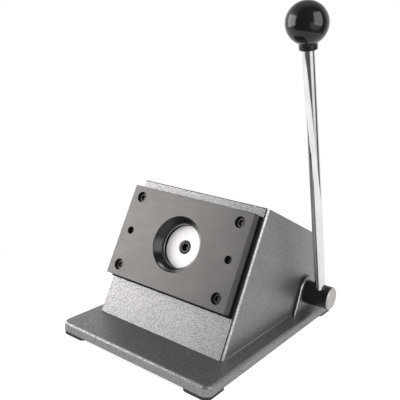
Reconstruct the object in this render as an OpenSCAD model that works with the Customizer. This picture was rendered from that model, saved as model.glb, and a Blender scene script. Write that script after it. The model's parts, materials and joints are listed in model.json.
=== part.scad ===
// Badge circle cutter: a desk machine whose lever pushes a round punch through a sloping die set.
// X runs to the right, Y to the back and Z up. The feet stand on Z = 0.

/* [Base plate] */
// Thickness of the base plate
base_t = 10; // [9:0.5:16]
// How far the base plate reaches in front of the front plate's foot
base_front = 44.6; // [34:0.2:80]
// How far the base plate reaches behind the walls
base_rear = 11; // [6:1:30]
// How far the base plate reaches past the left wall
base_left = 9.4; // [9:0.2:30]
// How far the base plate reaches past the right wall
base_right = 17; // [9:0.5:30]
// Radius of the base plate's corners
base_corner = 8; // [3:0.5:14]

/* [Feet] */
// Side of a square rubber foot
foot_w = 30; // [20:0.5:30]
// Radius of a rubber foot's corners
foot_corner = 6; // [1:0.5:10]
// Height of a rubber foot under the base plate
foot_h = 4; // [3.5:0.5:12]
// Distance of a foot's centre from the base plate's edges
foot_inset = 16; // [16:0.5:22]

/* [Body] */
// Width over the outer faces of the two walls
body_w = 164; // [156:1:200]
// Thickness of a wall
wall_t = 10; // [9:0.5:14]
// Distance from the shaft's axis to the walls' back edge
wall_behind = 38.5; // [36:0.5:60]
// Angle of the front plate above the horizontal
slope = 65; // [62:0.5:68]
// Angle of the back slope below the horizontal
back_slope = 23.5; // [18:0.5:27]
// Strip of each wall's front edge that stays bare beside the front plate
wall_edge = 2.8; // [1.5:0.1:2.8]
// Gap between the front plate's sides and the strips beside them
edge_gap = 0.4; // [0.2:0.1:0.6]
// How far these strips lie behind the front plate's face
edge_drop = 1.2; // [0:0.1:2]
// Thickness of the raised pad around the shaft
pad_t = 4.4; // [3:0.2:8]
// Width of the raised pad around the bush
pad_wall = 3.5; // [2.5:0.5:4.5]
// Half width of the raised pad where it stands on the base plate
pad_foot = 27; // [22:0.5:34]

/* [Front plate] */
// Length of the front plate along its slope
plate_len = 152; // [148:1:170]
// Thickness of the front plate between the walls
plate_t = 12; // [11:0.5:16]
// Thickness of the front plate's rims, which lie on the walls' front edges
plate_lip = 3; // [2.8:0.1:5]

/* [Rear cover] */
// Thickness of the cover's sheet
cover_t = 2; // [1.9:0.1:3]
// Part of each wall's thickness that stands up beside the cover
wall_lip = 3; // [2.8:0.1:3.2]

/* [Die set] */
// Height of the die plate along the slope
die_h = 99.8; // [92:0.2:102]
// Thickness of the die plate
die_t = 10; // [9.5:0.5:14]
// Diameter of the die hole at the front face
funnel_d = 58.4; // [52:0.2:66]
// Length of the straight cutting land at the back of the die hole
land_len = 2.5; // [1.5:0.1:4]
// Width of the slot that the sheet slides into
slot_h = 1.6; // [0.8:0.1:3]
// Width of the two spacers that hold the slot open
spacer_w = 24; // [18:0.5:25]
// Thickness of the stripper plate
stripper_t = 3.8; // [3:0.1:5]
// Strip of the front plate that shows beside the stripper plate
stripper_inset = 0.5; // [0.4:0.1:2]
// How far the stripper plate reaches past each side of the die plate
stripper_side = 1.2; // [0.5:0.1:4]
// How far the stripper plate reaches below the die plate
stripper_foot = 2.4; // [0.5:0.1:4]
// Distance of the die screws from the die plate's sides
screw_side = 13.3; // [9:0.1:14]
// Distance of the die screws from the die plate's upper and lower edges
screw_end = 11.8; // [9:0.1:14]
// Gap around a cap screw's head in its counterbore
counterbore_gap = 0.8; // [0.3:0.1:1.5]
// How far a cap screw's head lies below the face around it
counterbore_sink = 0.5; // [0:0.1:1]
// How far a die screw's head lies below the die plate's face
die_screw_sink = 3; // [0.5:0.1:3.2]
// Distance of the dowel pins from the die plate's sides
dowel_side = 13.5; // [9:0.1:14]
// Diameter of the dowel pins
dowel_d = 8; // [5:0.5:8]
// How far the dowel pins end below the die plate's face
dowel_recess = 4; // [0.2:0.1:5]
// How far the dowel pins reach into the front plate
dowel_grip = 8; // [5:0.5:10]

/* [Punch and ram] */
// Diameter of the punch, which is the diameter of the discs
punch_d = 46.2; // [42:0.1:46.6]
// Length of the punch
punch_len = 14; // [12:0.5:15]
// Distance of the punch's face behind the front plate's face at rest
punch_rest = 0.5; // [0:0.1:2]
// Gap around the punch screw's head in the punch's face
punch_hole_gap = 0.8; // [0.3:0.1:2]
// How far the punch screw's head lies below the punch's face
punch_screw_sink = 1; // [0.5:0.1:2]
// Travel of the punch
stroke = 10; // [9:0.25:10.5]
// Play that the ram's shoulder keeps at the end of the stroke
stop_slack = 1; // [0.5:0.1:2]
// Diameter of the ram where the guide holds it
ram_d = 40; // [36:0.5:42]
// Height of the ram's shoulder, which ends the stroke
ram_shoulder = 3; // [2:0.25:4]
// How far the ram's collar reaches past the spring
collar_lip = 1; // [0.5:0.25:2]
// Thickness of the ram's spring collar
collar_t = 8; // [5:0.5:9]
// Diameter of the hardened pad on the ram's back end
ram_pad_d = 36; // [30:1:38]
// Thickness of the hardened pad
ram_pad_t = 5; // [4:0.5:8]
// Diameter of the hardened pad's spigot
spigot_d = 16; // [10:0.5:20]
// Length of the hardened pad's spigot
spigot_len = 10; // [6:0.5:14]

/* [Ram guide] */
// Distance from the guide's screws to the edge of its flange
flange_edge = 8; // [7:0.5:12]
// Thickness of the guide's flange
guide_flange_t = 10; // [8:0.5:14]
// How far the guide's barrel reaches past the spring
guide_lip = 1.5; // [0.5:0.25:2.5]
// Length of the guide
guide_len = 50; // [44:0.5:52]
// Thickness of the bronze liner
liner_t = 4; // [3:0.25:5]
// Distance of the liner from the guide's front face
liner_inset = 8; // [6:0.5:12]
// Distance of the guide's screws from its barrel
guide_screw_out = 9; // [7:0.5:10]
// Number of the guide's screws
guide_screw_count = 4; // [3:1:6]

/* [Return spring] */
// Diameter of the spring's wire
wire_d = 4; // [2.5:0.1:4.2]
// Gap between the spring and the ram
spring_gap = 2.5; // [1.5:0.1:3]
// Turns of the spring
spring_turns = 5; // [4:0.5:6]

/* [Shaft and cam] */
// Distance of the shaft behind the front plate's face
shaft_depth = 141; // [136:0.5:150]
// Height of the shaft's axis over the base plate
shaft_z = 21.25; // [20:0.25:23]
// Distance of the shaft below the punch's axis, along the slope
shaft_drop = 3; // [1:0.25:6]
// Diameter of the shaft in its bushes
journal_d = 24; // [20:0.5:25]
// Height of the shaft's shoulder outside the right wall
stub_shoulder = 1; // [0.5:0.25:2]
// Length of the shaft's end outside the right wall
stub_len = 30.5; // [26:0.5:50]
// How far the shaft reaches past the left wall's pad
shaft_tail = 4; // [3:0.25:6]
// Thickness of the bushes
bush_t = 3; // [2:0.25:4]
// Distance of the bushes from the outer faces of the pads
bush_recess = 2; // [1:0.5:4]
// Turn of the lever from rest to the end of the stroke
lever_angle = 70; // [60:1:72]
// Distance from the shaft's axis to the ram's pad at rest
cam_rest = 24; // [22:0.5:25]
// Width of the cam's lobe
cam_w = 30; // [24:1:40]
// Thickness of the cam's hub around the shaft
hub_t = 5.5; // [5:0.25:6.5]
// Length of the hub beyond the lobe
hub_extra = 12; // [9:0.5:16]
// Turn of cam profile kept beyond each end of the stroke
cam_extra_angle = 10; // [6:1:12]
// Width of the cam's key
key_w = 8; // [5:0.5:8]
// Height of the cam's key
key_h = 7; // [6:0.5:8]
// Depth of the key in the shaft
key_sink = 4; // [3:0.25:4.5]
// Diameter of the stop bar behind the cam
stop_d = 12; // [10:0.5:13]
// Depth of the stop bar's ends in the walls
stop_grip = 5; // [3:0.5:6]
// How far the retaining ring stands out of the shaft
ring_out = 3.5; // [2.5:0.25:5]
// Thickness of the retaining ring
ring_t = 1.2; // [1:0.1:2]
// Depth of the retaining ring's groove in the shaft
groove_depth = 0.8; // [0.5:0.1:1.5]
// Width of the gap in the retaining ring
ring_gap = 6; // [4:0.5:10]

/* [Lever] */
// Distance of the lever's axis from the right wall's pad
lever_out = 17; // [12:0.5:18]
// Diameter of the lever rod
rod_d = 12; // [10:0.5:14]
// Distance from the shaft's axis to the ball's centre
lever_len = 310; // [240:1:330]
// Lean of the lever at rest, forward of upright
lever_lean = 19; // [10:0.5:20]
// How far the rod reaches past the shaft's axis
rod_root = 7; // [4:0.5:9]
// Diameter of the ball knob
ball_d = 40; // [35:1:50]
// Diameter of the ball knob's neck
neck_d = 17.5; // [17:0.5:22]
// Distance from the ball's centre to the end of its neck
neck_reach = 24; // [22:0.5:30]
// Outer diameter of the knob's threaded insert
insert_d = 14; // [12:0.5:15]
// Length of the knob's threaded insert
insert_len = 20; // [16:0.5:24]
// Diameter of the rod's threaded end
rod_tip_d = 10; // [8:0.5:10]
// How far the rod's threaded end stops short of the insert's end
tip_short = 2; // [0.5:0.5:8]

/* [Fasteners] */
// Thread of the die, wall and guide screws
cap_d = 6; // [5:0.5:6]
// Head diameter of the die, wall and guide screws
cap_head_d = 10; // [8.5:0.1:10.2]
// Head height of the die screws, which are low
die_screw_head_h = 4; // [3:0.1:4.2]
// Head height of the wall and guide screws
cap_head_h = 6; // [4:0.1:6]
// Key size of the die, wall and guide screws
cap_key = 5; // [4:0.5:5]
// Length of the die screws
die_screw_len = 18; // [14:0.5:19]
// Length of the wall screws
wall_screw_len = 18; // [12:0.5:24]
// Distance of the first wall screw from the front plate's foot
wall_screw_first = 20; // [16:1:30]
// Distance of the last wall screw in front of the shaft's axis
wall_screw_before = 25.5; // [22:0.5:40]
// Length of the guide screws
guide_screw_len = 18; // [14:0.5:18.5]
// Thread of the punch screw
punch_screw_d = 8; // [6:0.5:8]
// Head diameter of the punch screw
punch_screw_head_d = 13; // [10:0.1:13]
// Head height of the punch screw
punch_screw_head_h = 8; // [6:0.1:8]
// Key size of the punch screw
punch_screw_key = 6; // [4:0.5:6]
// Length of the punch screw
punch_screw_len = 28; // [16:1:40]
// Thread of the front plate's countersunk screws
flat_d = 4; // [3:0.5:4]
// Head diameter of the front plate's screws
flat_head_d = 7.6; // [6:0.1:7.8]
// Head height of the front plate's screws
flat_head_h = 2.2; // [1.5:0.1:2.4]
// Length of the front plate's screws
flat_len = 14; // [10:0.5:20]
// Distance between the front plate's screws
flat_pitch = 36; // [24:1:42]
// Thread of the foot screws
small_d = 4; // [3:0.5:4]
// Head diameter of the foot screws
small_head_d = 7.6; // [6:0.1:8]
// Head height of the foot screws
small_head_h = 2.2; // [1.6:0.1:2.4]
// Length of the foot screws
small_len = 9; // [7:0.5:10]
// Thread of the cover's countersunk screws
cover_screw_d = 3; // [2.5:0.5:3]
// Head diameter of the cover screws
cover_head_d = 5.6; // [4.6:0.1:5.8]
// Head height of the cover screws
cover_head_h = 1.6; // [1.2:0.1:1.7]
// Length of the cover screws
cover_screw_len = 10; // [8:0.5:12]
// Key size of the cover screws
cover_key = 2; // [1.5:0.5:2]
// Distance of the first cover screw from the front plate's top edge
cover_screw_first = 30; // [20:1:40]
// Distance between cover screws along the back slope
cover_screw_pitch = 48; // [36:1:50]
// Height of the lower cover screws over the base plate
cover_screw_low = 16; // [8:1:24]
// Height of the upper back cover screws over the lower ones
cover_screw_rise = 42; // [36:1:46]
// Key size of the foot screws and the front plate's screws
small_key = 2.5; // [2:0.5:2.5]
// Diameter of the cam's set screw
set_screw_d = 6; // [5:0.5:8]
// Key size of the cam's set screw
set_screw_key = 3; // [2:0.5:3]

/* [Clearances] */
// Radial gap of screws, pins and pressed pieces in their holes
fit_gap = 0.05; // [0.02:0.01:0.1]
// Radial gap of the shaft in its bushes and of the ram in its liner
run_gap = 0.05; // [0.02:0.01:0.1]
// Radial gap of the punch in the die and in the stripper plate
cut_gap = 0.1; // [0.06:0.02:0.2]
// Radial gap of the punch in the front plate
bore_gap = 0.6; // [0.3:0.1:0.6]
// Radial gap of screws in through holes
hole_gap = 0.3; // [0.2:0.05:0.5]
// Gap between moving faces that meet
face_gap = 0.3; // [0.2:0.05:0.5]
// Gap beside pieces that lie between the walls
side_gap = 0.2; // [0.1:0.05:0.5]

/* [Hidden] */
$fn = 96;
// Overshoot of cutting shapes past the faces that they cut
cut = 1;
// Part of a screw head's height that its key socket goes down
socket = 0.5;

paint = "#8f9092";
dark_steel = "#4a4a4c";
bright_steel = "#c9c9cb";
bronze = "#b08d57";
rubber_black = "#18181a";

// Heights, widths and places that follow from the sizes above
base_top = foot_h + base_t;
foot_grip = small_len - (foot_h - small_head_h - hole_gap);
counterbore_d = cap_head_d + 2 * counterbore_gap;
counterbore_depth = cap_head_h + counterbore_sink;
die_bore_depth = die_screw_head_h + die_screw_sink;
punch_hole_d = punch_screw_head_d + 2 * punch_hole_gap;
punch_hole_depth = punch_screw_head_h + punch_screw_sink;
ram_step_d = ram_d + 2 * ram_shoulder;
liner_d = ram_d + 2 * liner_t;
spring_d = ram_step_d + wire_d + 2 * spring_gap;
collar_d = spring_d + wire_d + 2 * collar_lip;
guide_d = spring_d + wire_d + 2 * guide_lip;
guide_screw_pcd = guide_d + 2 * guide_screw_out;
guide_flange_d = guide_screw_pcd + 2 * flange_edge;
stub_d = journal_d + 2 * stub_shoulder;
bush_d = journal_d + 2 * bush_t;
hub_d = journal_d + 2 * hub_t;
ring_d = journal_d + 2 * ring_out;
pad_r = bush_d / 2 + pad_wall;
rod_tip_len = insert_len - tip_short;
inner_w = body_w - 2 * wall_t;
plate_w = body_w - 2 * wall_edge;
seat_w = plate_w + 2 * edge_gap;
lip_x = body_w / 2 - wall_lip;
pad_face = body_w / 2 + pad_t;
die_s = shaft_drop + (shaft_z + shaft_depth * cos(slope)) / sin(slope);
die_foot = die_s - die_h / 2;
stripper_w = plate_w - 2 * stripper_inset;
die_w = stripper_w - 2 * stripper_side;
die_back = stripper_t + slot_h;
die_front = die_back + die_t;
guide_front = -plate_t;
guide_back = guide_front - guide_len;
ram_front = -punch_rest - punch_len;
ram_pad_back = -shaft_depth + cam_rest + face_gap;
ram_back = ram_pad_back + ram_pad_t;
ram_stop = guide_back - stroke - stop_slack;
collar_back = ram_back + collar_t / 2;
collar_front = collar_back + collar_t;
shaft_y = (die_s - shaft_drop) * cos(slope) + shaft_depth * sin(slope);
wall_back = shaft_y + wall_behind;
stub_root = pad_face + face_gap;
shaft_left = -(pad_face + shaft_tail);
ring_right = -(pad_face + face_gap);
lever_x = pad_face + lever_out;
bush_len = wall_t + pad_t - bush_recess;
set_screw_len = (hub_d - journal_d) / 2 - 2 * fit_gap;
rod_len = lever_len - neck_reach;

// Lift of the cam for each degree, and the sideways place where it touches the ram's pad
lift = stroke / lever_angle;
touch = lift * 180 / PI;

// Middle of the whole object, which is put over the origin
left_end = min(shaft_left, -(body_w / 2 + base_left));
right_end = max(body_w / 2 + base_right, lever_x + ball_d / 2, stub_root + stub_len);
front_end = min(-base_front, shaft_y - lever_len * sin(lever_lean) - ball_d / 2);
back_end = wall_back + base_rear;
middle_x = (left_end + right_end) / 2;
middle_y = (front_end + back_end) / 2;

// Places of fasteners
function foot_places() = [
    for (x = [-(body_w / 2 + base_left) + foot_inset, body_w / 2 + base_right - foot_inset])
    for (y = [-base_front + foot_inset, wall_back + base_rear - foot_inset]) [x, y]
];
wall_screw_x = (body_w - wall_t) / 2;
wall_screw_pitch = (shaft_y - wall_screw_before - wall_screw_first) / 2;
wall_screw_y = [for (i = [0 : 2]) wall_screw_first + i * wall_screw_pitch];
die_screw_places = [
    for (x = [-1, 1], s = [-1, 1]) [x * (die_w / 2 - screw_side), die_s + s * (die_h / 2 - screw_end)]
];
dowel_places = [for (x = [-1, 1]) [x * (die_w / 2 - dowel_side), die_s]];
ledge_x = inner_w / 2 + (wall_t - wall_lip) / 2;
flat_x = plate_w / 2 - flat_head_d / 2 - side_gap;
flat_places = [for (x = [-1, 1], i = [-1, 0, 1]) [x * flat_x, die_s + i * flat_pitch]];
guide_screw_places = [
    for (i = [1 : guide_screw_count])
        let (a = (i - 1 / 2) * 360 / guide_screw_count)
        [guide_screw_pcd / 2 * cos(a), die_s + guide_screw_pcd / 2 * sin(a)]
];
cover_slope_at = [for (i = [0 : 2]) cover_screw_first + i * cover_screw_pitch];
cover_back_at = [cover_screw_low, cover_screw_low + cover_screw_rise];

// Frames: the floor, the base plate's top, the front plate's face, the shaft's axis and the lever
module on_floor() translate([-middle_x, -middle_y, 0]) children();
module on_base() on_floor() translate([0, 0, base_top]) children();
module on_slope() on_base() rotate([slope, 0, 0]) children();
module on_shaft() on_base() translate([0, shaft_y, shaft_z]) children();
module on_lever() on_shaft() translate([lever_x, 0, 0]) rotate([lever_lean, 0, 0]) children();

// Extrudes a side view, drawn as Y and Z, across X
module along_x(width) rotate([90, 0, 90]) linear_extrude(width, center = true) children();

// Extrudes a side view between two distances from the middle, on one side
module slab(side, from, to) translate([side * (from + to) / 2, 0, 0]) along_x(to - from) children();

// Round bar along X between two places
module bar_x(d, from, to) translate([from, 0, 0]) rotate([0, 90, 0]) cylinder(d = d, h = to - from);

// Points of the side view, from a distance along the slope and a height over the front plate's face
function slope_point(s, n) = [s * cos(slope) - n * sin(slope), s * sin(slope) + n * cos(slope)];
function foot_s(n) = -n / tan(slope);
function top_s(n, drop) = plate_len - drop / sin(slope + back_slope) - n / tan(slope + back_slope);
function back_z(y, drop) =
    plate_len * sin(slope) - (y - plate_len * cos(slope)) * tan(back_slope) - drop / cos(back_slope);

// Side view of a wall, with its back drawn in by a drop
function wall_outline(drop) = [
    slope_point(foot_s(-edge_drop), -edge_drop),
    slope_point(top_s(-edge_drop, drop), -edge_drop),
    [wall_back - drop, back_z(wall_back - drop, drop)],
    [wall_back - drop, 0]
];

// Point where a line from an outside point touches a circle around the origin
function tangent_point(p, r, side) =
    let (a = atan2(p.y, p.x) + side * acos(r / norm(p))) [r * cos(a), r * sin(a)];

// Outline of the raised pad: a round head on a foot that widens down to the base plate
module pad_outline() {
    foot = [-pad_foot, -shaft_z];
    head = tangent_point(foot, pad_r - face_gap, -1);
    translate([shaft_y, shaft_z]) {
        circle(pad_r);
        polygon([foot, head, [-head.x, head.y], [pad_foot, -shaft_z]]);
    }
}

// Places on the back slope and on the back, with the outward direction along local Z
module at_cover_screws(side) {
    start = slope_point(plate_len, 0);
    for (d = cover_slope_at)
        translate([side * ledge_x, start.x + d * cos(back_slope), start.y - d * sin(back_slope)])
            rotate([-back_slope, 0, 0]) children();
    for (z = cover_back_at)
        translate([side * ledge_x, wall_back, z]) rotate([-90, 0, 0]) children();
}

// Six-sided socket for a key, given by its width across flats
module key_socket(key, depth) cylinder(d = key / cos(30), h = depth, $fn = 6);

// Screw with its head above Z = 0 and its thread below
module cap_screw(d, head_d, head_h, len, key) {
    difference() {
        union() {
            cylinder(d = head_d, h = head_h);
            translate([0, 0, -len]) cylinder(d = d, h = len);
        }
        translate([0, 0, head_h * (1 - socket)]) key_socket(key, head_h);
    }
}

// Countersunk screw whose flat head ends at Z = 0
module flat_screw(d, head_d, head_h, len, key) {
    difference() {
        union() {
            translate([0, 0, -head_h]) cylinder(d1 = d, d2 = head_d, h = head_h);
            translate([0, 0, -len]) cylinder(d = d, h = len - head_h / 2);
        }
        translate([0, 0, -head_h * socket]) key_socket(key, head_h);
    }
}

// Hole below Z = 0 with a seat for a countersunk head
module flat_hole(d, head_d, head_h, depth) {
    hole(d + 2 * hole_gap, depth);
    translate([0, 0, -head_h - hole_gap])
        cylinder(d1 = d, d2 = head_d + 2 * hole_gap, h = head_h + hole_gap);
}

// Straight hole below Z = 0
module hole(d, depth) translate([0, 0, -depth]) cylinder(d = d, h = depth + cut);

// Rectangle around the origin with round corners
module rounded_square(w, d, r) {
    square([w - 2 * r, d], center = true);
    square([w, d - 2 * r], center = true);
    for (x = [-1, 1], y = [-1, 1]) translate([x * (w / 2 - r), y * (d / 2 - r)]) circle(r);
}

module base_outline()
    translate([(base_right - base_left) / 2, (wall_back + base_rear - base_front) / 2])
        rounded_square(
            body_w + base_left + base_right, wall_back + base_rear + base_front, base_corner
        );

module base_plate() color(paint) on_floor()
    difference() {
        translate([0, 0, foot_h]) linear_extrude(base_t) base_outline();
        for (p = foot_places())
            translate([p.x, p.y, foot_h]) mirror([0, 0, 1])
                hole(small_d + 2 * fit_gap, foot_grip + hole_gap);
        for (x = [-1, 1], y = wall_screw_y)
            translate([x * wall_screw_x, y, foot_h]) {
                translate([0, 0, -cut]) cylinder(d = cap_d + 2 * hole_gap, h = base_t + 2 * cut);
                mirror([0, 0, 1]) hole(counterbore_d, counterbore_depth);
            }
    }

module rubber_feet() color(rubber_black) on_floor()
    for (p = foot_places())
        translate([p.x, p.y, 0])
            difference() {
                linear_extrude(foot_h) rounded_square(foot_w, foot_w, foot_corner);
                translate([0, 0, -cut]) cylinder(d = small_d + 2 * hole_gap, h = foot_h + 2 * cut);
                mirror([0, 0, 1]) hole(small_head_d + 2 * hole_gap, small_head_h + hole_gap);
            }

module foot_screws() color(bright_steel) on_floor()
    for (p = foot_places())
        translate([p.x, p.y, small_head_h + hole_gap]) mirror([0, 0, 1])
            cap_screw(small_d, small_head_d, small_head_h, small_len, small_key);

module wall(side) on_base()
    difference() {
        union() {
            slab(side, lip_x, body_w / 2) polygon(wall_outline(0));
            slab(side, inner_w / 2, (lip_x + seat_w / 2) / 2) polygon(wall_outline(cover_t));
            slab(side, body_w / 2 - wall_lip / 2, pad_face) pad_outline();
        }
        translate([0, shaft_y, shaft_z]) mirror([side < 0 ? 1 : 0, 0, 0]) {
            bar_x(bush_d + 2 * fit_gap, inner_w / 2 - cut, inner_w / 2 + bush_len);
            bar_x(journal_d + 2 * hole_gap, inner_w / 2, pad_face + cut);
        }
        stop_bar_solid(stop_d + 2 * fit_gap);
        for (y = wall_screw_y)
            translate([side * wall_screw_x, y, 0]) mirror([0, 0, 1])
                hole(cap_d + 2 * fit_gap, wall_screw_len);
        rotate([slope, 0, 0]) {
            translate([-seat_w / 2, -plate_t, -plate_lip])
                cube([seat_w, plate_len + 2 * plate_t, plate_lip + cut]);
            for (p = flat_places) translate([p.x, p.y, 0]) hole(flat_d + 2 * fit_gap, flat_len);
        }
        at_cover_screws(side) hole(cover_screw_d + 2 * fit_gap, cover_screw_len);
    }

module left_wall() color(paint) wall(-1);

module right_wall() color(paint) wall(1);

module wall_screws() color(dark_steel) on_floor()
    for (x = [-1, 1], y = wall_screw_y)
        translate([x * wall_screw_x, y, foot_h + counterbore_depth]) mirror([0, 0, 1])
            cap_screw(cap_d, cap_head_d, cap_head_h, wall_screw_len, cap_key);

// Side view of the front plate for one thickness and drop of its top, along the slope and over it
function plate_outline(t, drop) = [[0, 0], [top_s(0, drop), 0], [top_s(-t, drop), -t], [foot_s(-t), -t]];

module front_plate() color(paint) on_slope()
    difference() {
        union() {
            along_x(plate_w) polygon(plate_outline(plate_lip, 0));
            along_x(inner_w - 2 * side_gap) polygon(plate_outline(plate_t, cover_t));
        }
        translate([0, die_s, 0]) hole(punch_d + 2 * bore_gap, plate_t + cut);
        for (p = die_screw_places)
            translate([p.x, p.y, 0]) hole(cap_d + 2 * fit_gap, plate_t + cut);
        for (p = dowel_places)
            translate([p.x, p.y, 0]) hole(dowel_d + 2 * fit_gap, dowel_grip);
        for (p = guide_screw_places)
            translate([p.x, p.y, -plate_t]) mirror([0, 0, 1])
                hole(cap_d + 2 * fit_gap, guide_screw_len - guide_flange_t);
        for (p = flat_places)
            translate([p.x, p.y, 0])
                flat_hole(flat_d, flat_head_d, flat_head_h, plate_t + cut);
    }

module front_plate_screws() color(bright_steel) on_slope()
    for (p = flat_places)
        translate([p.x, p.y, 0]) flat_screw(flat_d, flat_head_d, flat_head_h, flat_len, small_key);

module rear_cover() color(paint) on_base()
    difference() {
        along_x(2 * lip_x - 2 * side_gap)
            polygon([
                slope_point(top_s(-plate_lip, 0), -plate_lip),
                [wall_back, back_z(wall_back, 0)],
                [wall_back, 0],
                [wall_back - cover_t, 0],
                [wall_back - cover_t, back_z(wall_back - cover_t, cover_t)],
                slope_point(top_s(-plate_lip, cover_t), -plate_lip)
            ]);
        for (side = [-1, 1])
            at_cover_screws(side)
                flat_hole(cover_screw_d, cover_head_d, cover_head_h, cover_t + cut);
    }

module cover_screws() color(dark_steel) on_base()
    for (side = [-1, 1])
        at_cover_screws(side)
            flat_screw(cover_screw_d, cover_head_d, cover_head_h, cover_screw_len, cover_key);

module stripper_plate() color(dark_steel) on_slope()
    difference() {
        translate([-stripper_w / 2, die_foot - stripper_foot, 0]) cube([stripper_w, die_h + stripper_foot, stripper_t]);
        translate([0, die_s, stripper_t]) hole(punch_d + 2 * cut_gap, stripper_t + cut);
        die_set_holes(stripper_t);
    }

// Screw and dowel holes through a layer of the die set that ends at a height
module die_set_holes(top) {
    for (p = die_screw_places)
        translate([p.x, p.y, top]) hole(cap_d + 2 * hole_gap, top + cut);
    for (p = dowel_places)
        translate([p.x, p.y, top]) hole(dowel_d + 2 * fit_gap, top + cut);
}

module spacer(side) on_slope()
    difference() {
        translate([side * (die_w - spacer_w) / 2 - spacer_w / 2, die_foot, stripper_t])
            cube([spacer_w, die_h, slot_h]);
        die_set_holes(die_back);
    }

module left_spacer() color(dark_steel) spacer(-1);

module right_spacer() color(dark_steel) spacer(1);

module die_plate() color(dark_steel) on_slope()
    difference() {
        translate([-die_w / 2, die_foot, die_back]) cube([die_w, die_h, die_t]);
        translate([0, die_s, die_front]) hole(punch_d + 2 * cut_gap, die_t + cut);
        translate([0, die_s, die_back + land_len])
            cylinder(d1 = punch_d + 2 * cut_gap, d2 = funnel_d, h = die_t - land_len);
        die_set_holes(die_front);
        for (p = die_screw_places)
            translate([p.x, p.y, die_front]) hole(counterbore_d, die_bore_depth);
    }

module die_screws() color(dark_steel) on_slope()
    for (p = die_screw_places)
        translate([p.x, p.y, die_front - die_bore_depth])
            cap_screw(cap_d, cap_head_d, die_screw_head_h, die_screw_len, cap_key);

module dowel_pins() color(bright_steel) on_slope()
    for (p = dowel_places)
        translate([p.x, p.y, -dowel_grip])
            cylinder(d = dowel_d, h = dowel_grip + die_front - dowel_recess);

module punch() color(bright_steel) on_slope() translate([0, die_s, -punch_rest])
    difference() {
        translate([0, 0, -punch_len]) cylinder(d = punch_d, h = punch_len);
        hole(punch_screw_d + 2 * hole_gap, punch_len + cut);
        hole(punch_hole_d, punch_hole_depth);
    }

module punch_screw() color(dark_steel) on_slope()
    translate([0, die_s, -punch_rest - punch_hole_depth])
        cap_screw(punch_screw_d, punch_screw_head_d, punch_screw_head_h, punch_screw_len, punch_screw_key);

module ram() color(bright_steel) on_slope() translate([0, die_s, 0])
    difference() {
        union() {
            translate([0, 0, ram_back]) cylinder(d = ram_d, h = ram_front - ram_back);
            translate([0, 0, collar_back]) cylinder(d = ram_step_d, h = ram_stop - collar_back);
            translate([0, 0, collar_back]) cylinder(d = collar_d, h = collar_t);
        }
        translate([0, 0, ram_front])
            hole(punch_screw_d + 2 * fit_gap, punch_screw_len - punch_len + punch_hole_depth);
        translate([0, 0, ram_back]) mirror([0, 0, 1]) hole(spigot_d + 2 * fit_gap, spigot_len);
    }

module ram_pad() color(dark_steel) on_slope() translate([0, die_s, ram_pad_back]) {
    cylinder(d = ram_pad_d, h = ram_pad_t);
    cylinder(d = spigot_d, h = ram_pad_t + spigot_len);
}

module ram_guide() color(paint) on_slope() translate([0, die_s, guide_front])
    difference() {
        union() {
            translate([0, 0, -guide_flange_t]) cylinder(d = guide_flange_d, h = guide_flange_t);
            translate([0, 0, -guide_len]) cylinder(d = guide_d, h = guide_len);
        }
        hole(liner_d + 2 * fit_gap, guide_len + cut);
        for (p = guide_screw_places)
            translate([p.x, p.y - die_s, 0]) hole(cap_d + 2 * hole_gap, guide_flange_t + cut);
    }

module guide_liner() color(bronze) on_slope() translate([0, die_s, guide_back])
    difference() {
        cylinder(d = liner_d, h = guide_len - liner_inset);
        translate([0, 0, -cut]) cylinder(d = ram_d + 2 * run_gap, h = guide_len + 2 * cut);
    }

module guide_screws() color(dark_steel) on_slope()
    for (p = guide_screw_places)
        translate([p.x, p.y, guide_front - guide_flange_t]) mirror([0, 0, 1])
            cap_screw(cap_d, cap_head_d, cap_head_h, guide_screw_len, cap_key);

// Return spring: one unbroken tube of flat sides, swept along a helix in rings
turn_rings = 8;
spring_rings = turn_rings * spring_turns;
spring_sides = 6;
spring_low = collar_front + wire_d / 2 + side_gap;
spring_high = guide_back - wire_d / 2 - side_gap;
spring_rise = (spring_high - spring_low) / spring_turns;
function spring_point(ring, side) =
    let (
        turns = ring / turn_rings,
        b = 360 * side / spring_sides,
        r = (spring_d + wire_d * cos(b)) / 2
    )
    [r * cos(360 * turns), r * sin(360 * turns), spring_low + spring_rise * turns + wire_d / 2 * sin(b)];
echo(spring_least_gap = spring_rise - wire_d);

module return_spring() color(bright_steel) on_slope() translate([0, die_s, 0])
    polyhedron(
        [for (ring = [0 : spring_rings], side = [0 : spring_sides - 1]) spring_point(ring, side)],
        concat(
            [for (k = [1 : spring_sides - 2]) [0, k, k + 1]],
            [for (ring = [0 : spring_rings - 1], side = [0 : spring_sides - 1], half = [0, 1])
                let (
                    a = ring * spring_sides + side,
                    b = ring * spring_sides + (side + 1) % spring_sides,
                    c = a + spring_sides,
                    d = b + spring_sides
                )
                half == 0 ? [a, c, b] : [b, c, d]],
            [for (k = [1 : spring_sides - 2])
                let (e = spring_rings * spring_sides) [e, e + k + 1, e + k]]
        )
    );

// Turn of the key, in the side view, half way up the cam's lobe
key_turn = 90 + slope - lever_angle / 2;

module key_solid(gap) rotate([key_turn, 0, 0])
    translate([-cam_w / 2, journal_d / 2 - key_sink - gap, -key_w / 2 - gap])
        cube([cam_w, key_h + 2 * gap, key_w + 2 * gap]);

module shaft() color(dark_steel) on_shaft()
    difference() {
        union() {
            bar_x(journal_d, shaft_left, stub_root + cut);
            bar_x(stub_d, stub_root, stub_root + stub_len);
        }
        key_solid(fit_gap);
        difference() {
            bar_x(stub_d, ring_right - ring_t - fit_gap, ring_right + fit_gap);
            bar_x(journal_d - 2 * groove_depth, shaft_left, 0);
        }
        translate([lever_x, 0, 0]) rotate([lever_lean, 0, 0])
            translate([0, 0, -rod_root]) cylinder(d = rod_d + 2 * fit_gap, h = rod_root + stub_d);
    }

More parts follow.
